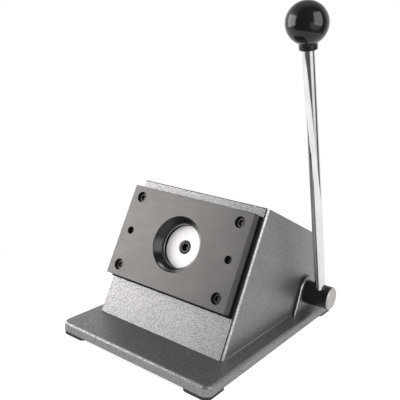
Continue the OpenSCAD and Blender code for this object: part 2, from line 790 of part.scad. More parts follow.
module bush(side) on_shaft() mirror([side < 0 ? 1 : 0, 0, 0])
    difference() {
        bar_x(bush_d, inner_w / 2, inner_w / 2 + bush_len);
        bar_x(journal_d + 2 * run_gap, inner_w / 2 - cut, pad_face);
    }

module left_bush() color(bronze) bush(-1);

module right_bush() color(bronze) bush(1);

module retaining_ring() color(dark_steel) on_shaft()
    difference() {
        bar_x(ring_d, ring_right - ring_t, ring_right);
        bar_x(journal_d - 2 * groove_depth + 2 * fit_gap, ring_right - 2 * ring_t, ring_right + ring_t);
        translate([ring_right - 2 * ring_t, -ring_gap / 2, -ring_d])
            cube([3 * ring_t, ring_gap, ring_d]);
    }

// Cam profile whose lift grows evenly with the turn: each degree moves the flat pad by the same step
function cam_point(turn) =
    let (a = 90 + slope - turn, h = cam_rest + lift * turn)
    [h * cos(a) + touch * sin(a), h * sin(a) - touch * cos(a)];
cam_nose = cam_point(lever_angle + cam_extra_angle);
cam_heel = tangent_point(cam_nose, hub_d / 2, -1);
cam_steps = 36;

module cam() color(dark_steel) on_shaft()
    difference() {
        union() {
            along_x(cam_w)
                polygon(concat(
                    [for (i = [0 : cam_steps])
                        cam_point(-cam_extra_angle + (lever_angle + 2 * cam_extra_angle) * i / cam_steps)],
                    [cam_heel, [0, 0]]
                ));
            bar_x(hub_d, -cam_w / 2, cam_w / 2 + hub_extra);
        }
        bar_x(journal_d + 2 * fit_gap, -cam_w, cam_w + hub_extra);
        key_solid(fit_gap);
        at_set_screw() cylinder(d = set_screw_d + 2 * fit_gap, h = hub_d);
    }

// Place of the set screw: on the hub, opposite the key, with local Z pointing out
module at_set_screw()
    translate([cam_w / 2 + hub_extra / 2, 0, 0]) rotate([key_turn + 90, 0, 0]) children();

module cam_key() color(bright_steel) on_shaft() key_solid(0);

module cam_set_screw() color(dark_steel) on_shaft() at_set_screw()
    translate([0, 0, journal_d / 2 + fit_gap])
        difference() {
            cylinder(d = set_screw_d, h = set_screw_len);
            translate([0, 0, set_screw_len * (1 - socket)]) key_socket(set_screw_key, set_screw_len);
        }

// Stop bar: lies along the flat flank of the resting cam, half way between its heel and its nose
flank = (cam_nose - cam_heel) / norm(cam_nose - cam_heel);
stop_place = (cam_nose + cam_heel) / 2 + (stop_d / 2 + face_gap) * [flank.y, -flank.x];

module stop_bar_solid(d) translate([0, shaft_y + stop_place.x, shaft_z + stop_place.y])
    bar_x(d, -inner_w / 2 - stop_grip, inner_w / 2 + stop_grip);

module stop_bar() color(bright_steel) on_base() stop_bar_solid(stop_d);

module lever_rod() color(bright_steel) on_lever() {
    translate([0, 0, -rod_root]) cylinder(d = rod_d, h = rod_root + rod_len);
    translate([0, 0, rod_len - cut]) cylinder(d = rod_tip_d, h = rod_tip_len + cut);
}

module ball_knob() color(rubber_black) on_lever()
    difference() {
        union() {
            translate([0, 0, lever_len]) sphere(d = ball_d);
            translate([0, 0, rod_len]) cylinder(d = neck_d, h = neck_reach);
        }
        translate([0, 0, rod_len - cut]) cylinder(d = insert_d + 2 * fit_gap, h = insert_len + cut);
    }

module knob_insert() color("#c8a25a") on_lever()
    translate([0, 0, rod_len])
        difference() {
            cylinder(d = insert_d, h = insert_len);
            translate([0, 0, -cut]) cylinder(d = rod_tip_d + 2 * fit_gap, h = rod_tip_len + cut);
        }

base_plate();
rubber_feet();
foot_screws();
left_wall();
right_wall();
wall_screws();
front_plate();
front_plate_screws();
rear_cover();
cover_screws();
stripper_plate();
left_spacer();
right_spacer();
die_plate();
die_screws();
dowel_pins();
punch();
punch_screw();
ram();
ram_pad();
ram_guide();
guide_liner();
guide_screws();
return_spring();
shaft();
left_bush();
right_bush();
retaining_ring();
cam();
cam_key();
cam_set_screw();
stop_bar();
lever_rod();
ball_knob();
knob_insert();
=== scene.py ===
"""Looks of the badge circle cutter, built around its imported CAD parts. Units are metres, in the CAD frame."""
import json
import math

import bmesh
import bpy
from mathutils import Matrix, Vector


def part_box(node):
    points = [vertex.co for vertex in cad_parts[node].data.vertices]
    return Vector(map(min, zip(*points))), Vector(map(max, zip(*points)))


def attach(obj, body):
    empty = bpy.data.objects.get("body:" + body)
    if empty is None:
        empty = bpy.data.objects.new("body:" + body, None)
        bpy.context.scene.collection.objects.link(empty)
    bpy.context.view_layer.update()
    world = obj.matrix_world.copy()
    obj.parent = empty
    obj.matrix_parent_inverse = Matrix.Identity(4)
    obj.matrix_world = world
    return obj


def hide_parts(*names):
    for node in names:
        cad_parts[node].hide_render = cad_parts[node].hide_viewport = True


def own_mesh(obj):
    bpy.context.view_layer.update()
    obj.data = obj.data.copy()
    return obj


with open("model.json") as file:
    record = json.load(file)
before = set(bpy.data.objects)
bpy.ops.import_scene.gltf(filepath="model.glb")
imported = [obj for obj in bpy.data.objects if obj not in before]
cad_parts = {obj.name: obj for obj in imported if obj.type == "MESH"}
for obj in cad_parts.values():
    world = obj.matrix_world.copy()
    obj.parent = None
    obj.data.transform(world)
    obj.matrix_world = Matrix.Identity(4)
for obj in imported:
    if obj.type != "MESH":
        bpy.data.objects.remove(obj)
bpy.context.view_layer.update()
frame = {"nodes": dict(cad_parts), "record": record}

MM = 0.001
NODES = frame["nodes"]
SLOT_OF = {part["node"]: part["material_slot"] for part in frame["record"]["subparts"]}
BODY_OF = {node: body for body, nodes in frame["record"]["behaviour"]["bodies"].items() for node in nodes}

# Sizes that part.scad gives, in millimetres and degrees
BASE_LOW = 4.0
BASE_TOP = 14.0
SLOPE = 65.0
DIE_S = 92.19616
BODY_HALF = 82.0
PAD_FACE = 86.4
LIP_INNER = 79.6
EDGE_DROP = 1.2
COVER_LIP = 79.0
STRIPPER_TOP = 3.8
DIE_BACK = 5.4
DIE_FRONT = 15.4
DIE_HALF_W = 77.5
DIE_HALF_H = 49.9
PUNCH_FACE = -0.5
STUB_END = 117.2
SHAFT_LEFT = -90.4
LEVER_X = 103.4
SHAFT_Y = 165.48532
SCREW_SINK = 3.0
FUNNEL_R = 29.2
LAND_R = 23.2
LAND_LEN = 2.5
LEVER_LEAN = 19.0
ROD_LEN = 286.0
LEVER_LEN = 310.0
BALL_R = 20.0
NECK_R = 8.75
INSERT_R = 7.05
INSERT_LEN = 20.0
SPRING_R = 27.5
WIRE_R = 2.0
SPRING_TURNS = 5
SPRING_LOW = -97.5
SPRING_HIGH = -64.2

# Lengths closer than this are taken as the same, in millimetres like the next four
NEAR = 0.1
# Only the top edge of the front plate lies this far up the slope from the punch's axis
PLATE_UPPER = 55.0
# The die plate's screws and dowels lie closer to its middle than this
SCREW_REACH = 75.0
# The rim of the punch's screw lies less far behind the punch's face than this
PUNCH_SCREW_REACH = 2.0
# The rear cover's bend lies within this height of its corner
BEND_ROOM = 0.5
# Share of the base plate's half width or half length beyond which an edge is on its rim
RIM_SHARE = 0.92
# A face whose normal has a lower Y looks to the front
FORWARD = -0.2

# Roundings and chamfers that the CAD parts lack, in millimetres
BASE_RIM_R = 3.0
FINE_R = 0.3
BEND_R = 2.0
PAD_CHAMFER = 1.5
FRONT_CHAMFER = 1.9
WALL_EDGE_R = 1.0
PLATE_TOP_R = 1.0
FOOT_R = 0.5
DIE_EDGE_R = 0.6
FUNNEL_RIM_R = 0.5
SCREW_HOLE_R = 0.35
LAND_RIM_R = 0.5
STRIPPER_RIM_R = 0.6
SCREW_HEAD_R = 0.9
DOWEL_R = 0.6
PUNCH_RIM_R = 0.4
PUNCH_SCREW_R = 1.2
STUB_CHAMFER = 1.6
SHAFT_END_R = 0.8
RING_R = 0.2
ROD_END_R = 0.4
# Hollow fillets of paint at the walls' feet, and where the ball meets its neck
FILLET_R = 1.2
HOLLOW_R = 1.5

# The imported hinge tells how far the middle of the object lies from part.scad's own origin
hinge = Vector(frame["record"]["behaviour"]["joints"][0]["pos_m"])
part_origin = Vector((hinge.x - LEVER_X * MM, hinge.y - SHAFT_Y * MM, 0))

# Frame of the front plate: X across, Y up the slope, Z out of its face.
# The punch's axis runs through its origin.
ON_SLOPE = (
    Matrix.Translation(part_origin + Vector((0, 0, BASE_TOP * MM)))
    @ Matrix.Rotation(math.radians(SLOPE), 4, "X")
    @ Matrix.Translation(Vector((0, DIE_S, 0)) * MM)
)
OUTWARD = ON_SLOPE.to_3x3() @ Vector((0, 0, 1))
UP_SLOPE = ON_SLOPE.to_3x3() @ Vector((0, 1, 0))
# Frame of the lever: Z runs from the shaft's axis to the ball
ON_LEVER = Matrix.Translation(hinge) @ Matrix.Rotation(math.radians(LEVER_LEAN), 4, "X")

# Places of a Mix node's colour sockets
MIX_FACTOR = 0
MIX_A = 6
MIX_B = 7
MIX_RESULT = 2


class Nodes:
    """A node tree: add() makes a node, and a socket given as an input is linked to it."""

    def __init__(self, tree):
        self.tree = tree
        self.tree.nodes.clear()

    def add(self, kind, inputs=None, **settings):
        node = self.tree.nodes.new(kind)
        for key, value in settings.items():
            setattr(node, key, value)
        for key, value in (inputs or {}).items():
            if isinstance(value, bpy.types.NodeSocket):
                self.tree.links.new(value, node.inputs[key])
            else:
                node.inputs[key].default_value = value
        return node

    def place(self, frame_matrix=None):
        """Object coordinates, or those in another frame."""
        coords = self.add("ShaderNodeTexCoord").outputs["Object"]
        if frame_matrix is None:
            return coords
        inputs = {
            "Vector": coords,
            "Location": frame_matrix.to_translation(),
            "Rotation": frame_matrix.to_euler(),
        }
        return self.add("ShaderNodeMapping", inputs, vector_type="TEXTURE").outputs["Vector"]

    def stretch(self, coords, scale):
        return self.add("ShaderNodeMapping", {"Vector": coords, "Scale": scale}).outputs["Vector"]

    def noise(self, coords, scale, detail=2.0, roughness=0.5):
        inputs = {"Vector": coords, "Scale": scale, "Detail": detail, "Roughness": roughness}
        return self.add("ShaderNodeTexNoise", inputs).outputs["Fac"]

    def math(self, operation, a, b=0.0):
        return self.add("ShaderNodeMath", {0: a, 1: b}, operation=operation).outputs[0]

    def dot(self, a, b):
        return self.add("ShaderNodeVectorMath", {0: a, 1: b}, operation="DOT_PRODUCT").outputs["Value"]

    def length(self, vector):
        return self.add("ShaderNodeVectorMath", {0: vector}, operation="LENGTH").outputs["Value"]

    def span(self, value, low, high, to_low, to_high):
        """Maps a range of a value to another range, clamped."""
        inputs = {"Value": value, 1: low, 2: high, 3: to_low, 4: to_high}
        return self.add("ShaderNodeMapRange", inputs).outputs["Result"]

    def vary(self, noise, to_low, to_high):
        """Maps the range that most values of a noise lie in to another range."""
        return self.span(noise, 0.3, 0.7, to_low, to_high)

    def ramp(self, value, *stops):
        """Colour ramp through (place, colour) stops."""
        node = self.add("ShaderNodeValToRGB", {"Fac": value})
        points = node.color_ramp.elements
        while len(points) < len(stops):
            points.new(0.5)
        for point, (at, colour) in zip(points, stops):
            point.position = at
            point.color = (*colour, 1.0)
        return node.outputs["Color"]

    def tint(self, colour, value):
        """Multiplies a colour by a grey value."""
        inputs = {MIX_FACTOR: 1.0, MIX_A: colour, MIX_B: value}
        return self.add("ShaderNodeMix", inputs, data_type="RGBA", blend_type="MULTIPLY").outputs[MIX_RESULT]

    def bump(self, height, strength, distance):
        inputs = {"Height": height, "Strength": strength, "Distance": distance * MM}
        return self.add("ShaderNodeBump", inputs).outputs["Normal"]


class Look(Nodes):
    """A material made of nodes."""

    def __init__(self, name):
        self.material = bpy.data.materials.new(name)
        self.material.use_nodes = True
        super().__init__(self.material.node_tree)

    def finish(self, **inputs):
        """Ends the material with one shader, whose inputs are named as in base_color."""
        names = {key: key.replace("_", " ").title().replace("Ior", "IOR") for key in inputs}
        shader = self.add("ShaderNodeBsdfPrincipled", {names[key]: value for key, value in inputs.items()})
        self.add("ShaderNodeOutputMaterial", {"Surface": shader.outputs[0]})
        return self.material


def grey(value, warm=0.0):
    """A grey, made a little warmer or cooler."""
    return (value * (1 + warm), value, value * (1 - warm))


def hammertone(name, tone):
    """Grey hammered paint: small dished cells with paler centres, over slow changes of tone."""
    look = Look(name)
    coords = look.place()
    drift = look.add("ShaderNodeTexNoise", {"Vector": coords, "Scale": 240.0, "Detail": 2.0}).outputs["Color"]
    shift = look.add("ShaderNodeVectorMath", {0: drift, "Scale": 1.6 * MM}, operation="SCALE").outputs[0]
    coords = look.add("ShaderNodeVectorMath", {0: coords, 1: shift}, operation="ADD").outputs[0]
    cells = look.add(
        "ShaderNodeTexVoronoi", {"Vector": coords, "Scale": 680.0, "Smoothness": 0.4}, feature="SMOOTH_F1"
    ).outputs["Distance"]
    grain = look.noise(coords, scale=1400.0)
    clouds = look.noise(coords, scale=16.0, detail=3.0)
    colour = look.ramp(cells, (0.1, grey(tone * 1.35)), (0.4, grey(tone)), (0.8, grey(tone * 0.78)))
    shade = look.math("MULTIPLY", look.vary(clouds, 0.95, 1.05), look.vary(grain, 0.92, 1.08))
    height = look.math("ADD", cells, look.math("MULTIPLY", grain, 0.25))
    return look.finish(
        base_color=look.tint(colour, shade),
        metallic=0.92,
        roughness=look.span(cells, 0.0, 1.0, 0.38, 0.5),
        normal=look.bump(height, strength=0.36, distance=0.35),
    )


def steel(name, tone, roughness, metallic, warm=0.0, mottle=0.08, lines=(1.0, 1.0, 1.0), fineness=500.0,
          bump=0.06, sheen=0.5):
    """Metal with fine finishing marks, drawn out along the axes with a low number, and slow mottling."""
    look = Look(name)
    coords = look.place()
    marks = look.noise(look.stretch(coords, lines), scale=fineness, detail=3.0, roughness=0.6)
    clouds = look.noise(coords, scale=45.0, detail=4.0, roughness=0.6)
    colour = look.ramp(clouds, (0.3, grey(tone * (1 - mottle), warm)), (0.7, grey(tone * (1 + mottle), warm)))
    return look.finish(
        base_color=look.tint(colour, look.vary(marks, 0.93, 1.07)),
        metallic=metallic,
        roughness=look.vary(marks, roughness * 0.85, roughness * 1.15),
        specular_ior_level=sheen,
        normal=look.bump(marks, strength=bump, distance=0.1),
    )


def turned(name, tone, roughness, metallic, ring, frame_matrix, warm=0.0):
    """Bright metal with fine rings of turning around an axis, a ring width in millimetres apart."""
    look = Look(name)
    coords = look.place(frame_matrix)
    rings = look.add(
        "ShaderNodeTexWave",
        {"Vector": coords, "Scale": 1.0 / (ring * MM), "Distortion": 1.2, "Detail": 2.0, "Detail Scale": 3.0},
        wave_type="RINGS", rings_direction="Z",
    ).outputs["Fac"]
    stains = look.noise(coords, scale=60.0, detail=4.0, roughness=0.6)
    colour = look.ramp(stains, (0.32, grey(tone * 0.92, warm)), (0.62, grey(tone, warm)))
    return look.finish(
        base_color=look.tint(colour, look.span(rings, 0.0, 1.0, 0.96, 1.02)),
        metallic=metallic,
        roughness=look.vary(stains, roughness * 0.9, roughness * 1.15),
        normal=look.bump(rings, strength=0.04, distance=0.05),
    )


def coloured_metal(name, light, dark, roughness):
    """Bronze or brass, with darker stains."""
    look = Look(name)
    coords = look.place()
    stains = look.noise(coords, scale=90.0, detail=4.0, roughness=0.6)
    marks = look.noise(look.stretch(coords, (0.1, 1.0, 1.0)), scale=700.0)
    return look.finish(
        base_color=look.ramp(stains, (0.3, dark), (0.65, light)),
        metallic=0.9,
        roughness=look.vary(marks, roughness * 0.85, roughness * 1.2),
        normal=look.bump(marks, strength=0.06, distance=0.08),
    )


def chrome(name):
    """Polished chrome with faint haze and hairlines along the rod."""
    look = Look(name)
    coords = look.place(ON_LEVER)
    haze = look.noise(coords, scale=70.0, detail=3.0)
    hairs = look.noise(look.stretch(coords, (1.0, 1.0, 0.02)), scale=1800.0)
    return look.finish(
        base_color=look.ramp(haze, (0.3, grey(0.72, -0.01)), (0.6, grey(0.8, -0.01))),
        metallic=1.0,
        roughness=look.vary(haze, 0.05, 0.11),
        normal=look.bump(hairs, strength=0.015, distance=0.05),
    )


def polished_black(name):
    """Polished black knob with handling haze and a few fine scratches."""
    look = Look(name)
    coords = look.place()
    haze = look.noise(coords, scale=60.0, detail=4.0, roughness=0.6)
    scratches = look.noise(look.stretch(coords, (1.0, 1.0, 6.0)), scale=900.0, detail=4.0, roughness=0.7)
    return look.finish(
        base_color=look.ramp(haze, (0.35, grey(0.006)), (0.7, grey(0.011))),
        roughness=look.span(haze, 0.35, 0.7, 0.1, 0.2),
        ior=1.45,
        normal=look.bump(scratches, strength=0.012, distance=0.05),
    )


def rubber(name):
    """Matt black rubber with a fine moulded grain and dusty patches."""
    look = Look(name)
    coords = look.place()
    grain = look.noise(coords, scale=1600.0, detail=3.0)
    dust = look.noise(coords, scale=120.0, detail=3.0)
    return look.finish(
        base_color=look.ramp(dust, (0.35, grey(0.012)), (0.75, grey(0.03))),
        roughness=look.vary(grain, 0.7, 0.9),
        normal=look.bump(grain, strength=0.2, distance=0.1),
    )


def black_with_painted_highlight(name):
    """The blackened funnel, with an arc of pale bare metal at its lowest part: a painted highlight where the
    rim catches the light.
    """
    look = Look(name)
    coords = look.place(ON_SLOPE)
    height = look.add("ShaderNodeSeparateXYZ", {0: coords}).outputs["Y"]
    radius = look.length(look.stretch(coords, (1.0, 1.0, 0.0)))
    marks = look.noise(coords, scale=300.0, detail=3.0)
    inner = look.span(radius, (FUNNEL_R - 3.0) * MM, (FUNNEL_R - 2.2) * MM, 0.0, 1.0)
    outer = look.span(radius, (FUNNEL_R - 1.2) * MM, (FUNNEL_R - 0.6) * MM, 1.0, 0.0)
    lowest = look.span(height, -(FUNNEL_R - 3.5) * MM, -(FUNNEL_R - 6.5) * MM, 1.0, 0.0)
    # Pale bare metal in an arc at the rim's lowest part: a painted highlight
    highlight_arc = look.math("MULTIPLY", look.math("MULTIPLY", inner, outer), lowest)
    return look.finish(
        base_color=look.ramp(highlight_arc, (0.0, grey(0.03)), (1.0, grey(0.75))),
        metallic=look.span(highlight_arc, 0.0, 1.0, 0.7, 1.0),
        roughness=look.vary(marks, 0.2, 0.26),
        normal=look.bump(marks, strength=0.03, distance=0.05),
    )


PAINT = 0.26
LOOKS = {
    "hammertone_paint": hammertone("hammertone", PAINT),
    "foot_rubber": rubber("foot_rubber_grain"),
    "zinc_screw": steel("zinc_plate", tone=0.55, roughness=0.35, metallic=0.9, warm=0.02),
    "black_screw": steel("black_oxide_screw", tone=0.035, roughness=0.26, metallic=0.9, mottle=0.2),
    # Black oxide plate, made near black and almost without sheen so that its rims beside and below the die
    # plate also stand in for the shade there: partly painted shade
    "stripper_steel": steel(
        "black_oxide_plate_and_painted_shade", tone=0.006, roughness=0.6, metallic=0.0, mottle=0.25, lines=(0.05, 1.0, 1.0),
        sheen=0.05,
    ),
    "die_steel": steel(
        "die_satin", tone=0.095, roughness=0.4, metallic=0.9, warm=0.02, mottle=0.06, lines=(0.08, 1.0, 1.0)
    ),
    "pin_steel": steel("pin_end", tone=0.012, roughness=0.3, metallic=0.5, mottle=0.2, sheen=0.2),
    "punch_steel": turned(
        "punch_face", tone=0.95, roughness=0.5, metallic=0.1, ring=0.7, frame_matrix=ON_SLOPE, warm=0.01
    ),
    "ground_steel": steel("ground_steel", tone=0.55, roughness=0.3, metallic=0.9, lines=(0.08, 1.0, 1.0)),
    "hard_steel": steel("hardened_steel", tone=0.14, roughness=0.35, metallic=0.85, warm=0.03, mottle=0.2),
    "guide_iron": steel(
        "cast_guide", tone=0.2, roughness=0.6, metallic=0.4, mottle=0.15, fineness=260.0, bump=0.3
    ),
    "bronze": coloured_metal(
        "bronze_turned", light=(0.55, 0.36, 0.17), dark=(0.38, 0.23, 0.1), roughness=0.35
    ),
    "spring_steel": steel("drawn_wire", tone=0.42, roughness=0.3, metallic=0.9, mottle=0.1),
    "shaft_steel": steel(
        "black_oxide_shaft", tone=0.012, roughness=0.42, metallic=0.3, mottle=0.25, lines=(1.0, 0.2, 0.2)
    ),
    "chrome_rod": chrome("chrome_polish"),
    "knob_black": polished_black("knob_gloss"),
    "insert_brass": coloured_metal(
        "brass_turned", light=(0.66, 0.48, 0.22), dark=(0.5, 0.34, 0.14), roughness=0.3
    ),
}
# Finishes of single faces: the die plate's blackened sides and funnel, with a painted highlight in the funnel,
# the bare rim of the hole behind it, paler edges of the painted parts as a painted highlight, darker ones as
# painted shade, and the shaft's bare end
DIE_SIDE = steel(
    "die_side_black", tone=0.045, roughness=0.42, metallic=0.6, warm=0.01, mottle=0.15, lines=(1.0, 0.1, 0.1)
)
FUNNEL = black_with_painted_highlight("funnel_black")
BARE_RIM = turned("bare_rim", tone=0.6, roughness=0.24, metallic=1.0, ring=0.3, frame_matrix=ON_SLOPE)
# Paler paint on the chamfers along the walls' front edges and pads: a painted highlight where they face the
# right lamp
PAINTED_HIGHLIGHT_EDGE = hammertone("hammertone_painted_highlight", 1.7 * PAINT)
# Darker paint on the pads' front sides and the front plate's top rounding: painted shade
PAINTED_SHADE_EDGE = hammertone("hammertone_painted_shade", 0.45 * PAINT)
BARE_END = turned(
    "bare_shaft_end", tone=0.36, roughness=0.4, metallic=0.35, ring=0.8,
    frame_matrix=Matrix.Rotation(math.pi / 2, 4, "Y"), warm=0.05,
)


def settle(piece, node):
    """Puts a piece in the scene in place of a CAD node, on its body and with its finish."""
    bpy.context.scene.collection.objects.link(piece)
    piece.data.materials.append(LOOKS[SLOT_OF[node]])
    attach(piece, BODY_OF[node])
    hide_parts(node)
    return piece


def smooth(mesh, sharp=40.0):
    """Shades a mesh smooth, apart from edges sharper than an angle in degrees. Large faces stay flat."""
    limit = math.cos(math.radians(sharp))
    around = [[] for vertex in mesh.vertices]
    for face in mesh.polygons:
        face.use_smooth = True
        for vertex in face.vertices:
            around[vertex].append((face.normal.copy(), face.area))
    normals = []
    for face in mesh.polygons:
        for vertex in face.vertices:
            near = [normal * area for normal, area in around[vertex] if normal.dot(face.normal) > limit]
            normals.append(sum(near, Vector()).normalized())
    mesh.normals_split_custom_set(normals)


def rounded(node, *passes):
    """A copy of a CAD node with some sharp edges rounded. A pass is a test of an edge's middle, a radius in
    millimetres and a number of steps, one for a chamfer; the middle is in the CAD frame, in millimetres."""
    mesh = bpy.data.meshes.new(node + "_mesh")
    edit = bmesh.new()
    edit.from_mesh(NODES[node].data)
    bmesh.ops.remove_doubles(edit, verts=edit.verts, dist=1e-6)
    bmesh.ops.dissolve_limit(edit, angle_limit=math.radians(0.3), verts=edit.verts, edges=edit.edges)
    for test, radius, steps in passes:
        chosen = [
            edge for edge in edit.edges
            if len(edge.link_faces) == 2 and edge.is_convex and edge.calc_face_angle(0) > math.radians(30)
            and test((edge.verts[0].co + edge.verts[1].co) / 2 / MM)
        ]
        bmesh.ops.bevel(
            edit, geom=chosen, offset=radius * MM, offset_type="OFFSET", segments=steps, profile=0.5,
            affect="EDGES", clamp_overlap=True, loop_slide=False,
        )
    edit.to_mesh(mesh)
    edit.free()
    smooth(mesh)
    return settle(bpy.data.objects.new(node + "_rounded", mesh), node)


def dress_faces(piece, look, test):
    """Gives some faces of a piece another finish, by their middle in millimetres and their normal."""
    piece.data.materials.append(look)
    for face in piece.data.polygons:
        if test(face.center / MM, face.normal):
            face.material_index = len(piece.data.materials) - 1


def bridge(edit, low, high):
    """Faces between two rings of points, one of which may be a single point."""
    for i in range(max(len(low), len(high))):
        after = i + 1
        corners = (low[i % len(low)], low[after % len(low)], high[after % len(high)], high[i % len(high)])
        edit.faces.new(list(dict.fromkeys(corners)))


def closed_mesh(name, edit, frame_matrix):
    """The mesh of a closed shape in a frame, with its faces turned outward and its shading."""
    bmesh.ops.recalc_face_normals(edit, faces=edit.faces)
    mesh = bpy.data.meshes.new(name)
    edit.to_mesh(mesh)
    edit.free()
    mesh.transform(frame_matrix)
    smooth(mesh)
    return mesh


def lathe(node, profile, steps, frame_matrix):
    """A turned piece: a profile of (radius, height) in millimetres, from the axis back to the axis."""
    edit = bmesh.new()
    rings = []
    for radius, height in profile:
        ring = []
        for step in range(steps if radius else 1):
            turn = 2 * math.pi * step / steps
            spot = Vector((radius * math.cos(turn), radius * math.sin(turn), height))
            ring.append(edit.verts.new(spot * MM))
        rings.append(ring)
    for low, high in zip(rings, rings[1:]):
        bridge(edit, low, high)
    mesh = closed_mesh(node + "_mesh", edit, frame_matrix)
    return settle(bpy.data.objects.new(node + "_turned", mesh), node)


def arc(centre, radius, start, end, steps):
    """Points of an arc in a profile, from one angle in degrees to another."""
    turns = [math.radians(start + (end - start) * i / steps) for i in range(steps + 1)]
    return [(centre[0] + radius * math.cos(a), centre[1] + radius * math.sin(a)) for a in turns]


def paint_fillet(wall, side):
    """A small hollow fillet of paint in the corner between a wall's foot and the base plate."""
    low, high = (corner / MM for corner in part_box(wall))
    profile = [(0, 0)] + arc((FILLET_R, FILLET_R), FILLET_R, 180, 270, 5)
    edit = bmesh.new()
    ends = []
    for along in (low.y + 2 * FILLET_R, high.y - 2 * FILLET_R):
        spots = [Vector((side * (BODY_HALF + out), 0, BASE_TOP + up)) * MM for out, up in profile]
        ends.append([edit.verts.new((part_origin.x + spot.x, along * MM, spot.z)) for spot in spots])
    bridge(edit, *ends)
    for end in ends:
        edit.faces.new(end)
    mesh = closed_mesh(wall + "_fillet_mesh", edit, Matrix())
    fillet = bpy.data.objects.new(wall + "_fillet", mesh)
    bpy.context.scene.collection.objects.link(fillet)
    mesh.materials.append(LOOKS[SLOT_OF[wall]])
    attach(fillet, BODY_OF[wall])


def spring_wire(sides=12, steps=40 * SPRING_TURNS):
    """The mesh of a round wire that is wound around the punch's axis and closed at its ends."""
    edit = bmesh.new()
    wire = []
    for step in range(steps + 1):
        turn = 2 * math.pi * SPRING_TURNS * step / steps
        height = SPRING_LOW + (SPRING_HIGH - SPRING_LOW) * step / steps
        ring = []
        for side in range(sides):
            around = 2 * math.pi * side / sides
            radius = SPRING_R + WIRE_R * math.cos(around)
            spot = (radius * math.cos(turn), radius * math.sin(turn), height + WIRE_R * math.sin(around))
            ring.append(edit.verts.new(Vector(spot) * MM))
        wire.append(ring)
    for low, high in zip(wire, wire[1:]):
        bridge(edit, low, high)
    edit.faces.new(wire[0])
    edit.faces.new(wire[-1])
    return closed_mesh("return_spring_mesh", edit, ON_SLOPE)


def close(length, other):
    """True for two lengths that are as good as the same."""
    return abs(length - other) < NEAR


def part_x(point):
    """Distance from the body's mid-plane."""
    return point.x - part_origin.x / MM


def on_slope(point):
    """A point across, up the slope from the punch's axis and out of the front plate's face."""
    return ON_SLOPE.inverted() @ (point * MM) / MM


def on_axis_within(point, radius):
    """True for points closer to the punch's axis than a radius."""
    return on_slope(point).to_2d().length < radius


# Body
base_low, base_high = (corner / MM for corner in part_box("base_plate"))
base_middle, base_half = (base_low + base_high) / 2, (base_high - base_low) / 2
cover_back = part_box("rear_cover")[1].y / MM
cover_spots = [vertex.co / MM for vertex in NODES["rear_cover"].data.vertices]
bend_height = max(spot.z for spot in cover_spots if spot.y > cover_back - NEAR)


def at_base_rim(point):
    """True beside the base plate's outer sides, and not at its screw holes."""
    offset = point - base_middle
    return max(abs(offset.x) / base_half.x, abs(offset.y) / base_half.y) > RIM_SHARE


def at_cover_bend(point):
    """True at the bend between the back slope and the back."""
    return close(point.y, cover_back) and abs(point.z - bend_height) < BEND_ROOM


def at_side(point, distance):
    """True at a distance from the body's mid-plane, over the base plate."""
    return close(abs(part_x(point)), distance) and point.z > BASE_TOP + NEAR


def on_front_chamfer(spot, normal):
    """True on the chamfer along a wall's front edge, which looks half to the front and half to the side."""
    halfway = abs(normal.dot(OUTWARD) - 0.707) < 0.12
    return halfway and abs(part_x(spot)) > LIP_INNER + 0.5


def on_pad_chamfer(spot, normal):
    """True on the front stretch of the chamfer around a wall's raised pad."""
    at_pad = BODY_HALF + 2 < abs(part_x(spot)) < PAD_FACE - 0.05
    return at_pad and 0.3 < abs(normal.x) < 0.95 and normal.y < FORWARD


def on_pad_side(spot, normal):
    """True on the front stretch of the side of a wall's raised pad."""
    at_pad = BODY_HALF + 0.2 < abs(part_x(spot)) < PAD_FACE - 1.4
    return at_pad and abs(normal.x) < 0.1 and normal.y < FORWARD


rounded(
    "base_plate",
    (lambda p: at_base_rim(p) and p.z > BASE_TOP - NEAR, BASE_RIM_R, 6),
    (lambda p: at_base_rim(p) and p.z < BASE_LOW + NEAR, FINE_R, 2),
)
for wall, side in (("left_wall", -1), ("right_wall", 1)):
    paint_fillet(wall, side)
    wall_piece = rounded(
        wall,
        (lambda p: at_cover_bend(p) and abs(part_x(p)) > COVER_LIP, BEND_R, 4),
        (lambda p: at_side(p, PAD_FACE), PAD_CHAMFER, 1),
        (lambda p: at_side(p, BODY_HALF) and close(on_slope(p).z, -EDGE_DROP), FRONT_CHAMFER, 1),
        (lambda p: at_side(p, BODY_HALF), WALL_EDGE_R, 4),
    )
    # The front-edge and pad chamfers get paler paint, a painted highlight
    dress_faces(
        wall_piece, PAINTED_HIGHLIGHT_EDGE,
        lambda spot, normal: on_front_chamfer(spot, normal) or on_pad_chamfer(spot, normal),
    )
    # The pads' front sides get darker paint, painted shade beside the pads
    dress_faces(wall_piece, PAINTED_SHADE_EDGE, on_pad_side)
front_plate = rounded(
    "front_plate", (lambda p: close(on_slope(p).z, 0) and on_slope(p).y > PLATE_UPPER, PLATE_TOP_R, 4)
)
# The front plate's top rounding gets darker paint, a painted shade line along its top edge
dress_faces(
    front_plate, PAINTED_SHADE_EDGE,
    lambda spot, normal: on_slope(spot).y > PLATE_UPPER and normal.dot(UP_SLOPE) > 0.15,
)
rounded("rear_cover", (at_cover_bend, BEND_R, 4))
rounded("rubber_feet", (lambda p: True, FOOT_R, 3))

